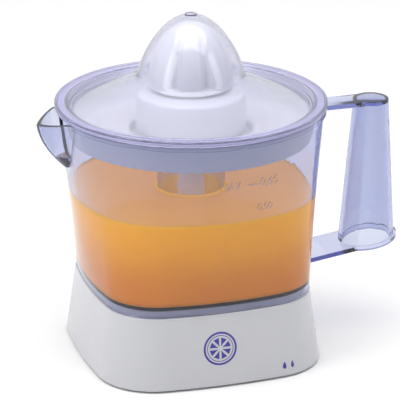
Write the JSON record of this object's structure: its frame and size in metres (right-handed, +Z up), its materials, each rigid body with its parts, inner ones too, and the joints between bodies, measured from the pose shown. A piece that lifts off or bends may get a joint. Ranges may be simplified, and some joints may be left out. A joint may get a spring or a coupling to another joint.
{
  "type": "citrus press juicer",
  "caption": "Electric citrus press with a geared motor base, a clear jug with spout and handle, a slotted strainer, a ribbed cone and a clear domed lid.",
  "frame": {"origin": "on the worktop, under the drive spindle's axis", "axes": "+Z up along the spindle, +X towards the jug's handle, -X towards its spout, -Y towards the front of the base"},
  "size_m": [0.1895, 0.136, 0.1753],
  "materials": {
    "white_abs": "moulded, satin gloss, cool white",
    "grey_abs": "moulded, fine texture",
    "tinted_clear": "clear moulded, blue-violet tint, polished",
    "clear": "clear moulded, polished",
    "white_pp": "moulded, satin white",
    "steel": "zinc plated",
    "lamination_steel": "stamped laminations",
    "bronze": "sintered bronze",
    "copper": "enamelled copper wire",
    "black_nylon": "moulded nylon",
    "magnet": "sintered ferrite",
    "acetal": "moulded acetal",
    "rubber": "soft, matt"
  },
  "bodies": {
    "base": {"base_housing": "white_abs", "bottom_cover": "grey_abs", "rubber_foot_1": "rubber", "rubber_foot_2": "rubber", "rubber_foot_3": "rubber", "rubber_foot_4": "rubber", "cover_screws": "steel", "cord_gland": "rubber", "stator_stack": "lamination_steel", "coil_bobbin_1": "black_nylon", "coil_bobbin_2": "black_nylon", "coil_winding_1": "copper", "coil_winding_2": "copper", "gear_frame": "steel", "rotor_bracket": "steel", "rotor_bush_upper": "bronze", "rotor_bush_lower": "bronze", "idler_axle": "steel", "motor_screws": "steel", "frame_screws": "steel", "gear_bush": "bronze", "return_spring": "steel", "spindle_bush": "bronze", "shaft_seal": "rubber", "switch_body": "black_nylon", "terminal_block": "black_nylon"},
    "rotor": {"rotor_magnet": "magnet", "rotor_shaft": "steel", "rotor_pinion": "acetal"},
    "idler": {"idler_gear": "acetal"},
    "output": {"output_gear": "acetal"},
    "spindle": {"drive_spindle": "white_pp", "spindle_clip": "steel"},
    "cone": {"reamer_cone": "white_pp"},
    "jug": {"jug": "tinted_clear", "strainer": "white_pp"},
    "lid": {"lid": "clear"},
    "lever": {"switch_lever": "steel"}
  },
  "joints": [
    {"name": "output_spin", "type": "hinge", "parent": "base", "child": "output", "pos_m": [0, 0, 0], "axis": [0, 0, 1], "continuous": true},
    {"name": "idler_spin", "type": "hinge", "parent": "base", "child": "idler", "pos_m": [0.02075, 0.01997, 0], "axis": [0, 0, 1], "continuous": true},
    {"name": "rotor_spin", "type": "hinge", "parent": "base", "child": "rotor", "pos_m": [-0.00003, 0.03197, 0], "axis": [0, 0, 1], "continuous": true},
    {"name": "spindle_press", "type": "slide", "parent": "output", "child": "spindle", "axis": [0, 0, 1], "range_m": [-0.0025, 0], "stiffness_N_per_m": 2000, "springref_m": 0.004, "deforming": ["return_spring"]},
    {"name": "jug_lift", "type": "slide", "parent": "base", "child": "jug", "axis": [0, 0, 1], "range_m": [0, 0.1]},
    {"name": "cone_lift", "type": "slide", "parent": "spindle", "child": "cone", "axis": [0, 0, 1], "range_m": [0, 0.1]},
    {"name": "lid_lift", "type": "slide", "parent": "jug", "child": "lid", "axis": [0, 0, 1], "range_m": [0, 0.06]},
    {"name": "lever_tilt", "type": "hinge", "parent": "base", "child": "lever", "pos_m": [0, -0.02, 0.01855], "axis": [1, 0, 0], "range_deg": [-11.3, 0]}
  ],
  "couplings": [
    {"joint": "idler_spin", "follows": "output_spin", "ratio": -5},
    {"joint": "rotor_spin", "follows": "output_spin", "ratio": 25},
    {"joint": "cone_lift", "follows": "jug_lift", "ratio": 1},
    {"joint": "lever_tilt", "follows": "spindle_press", "rad_per_m": 78}
  ]
}
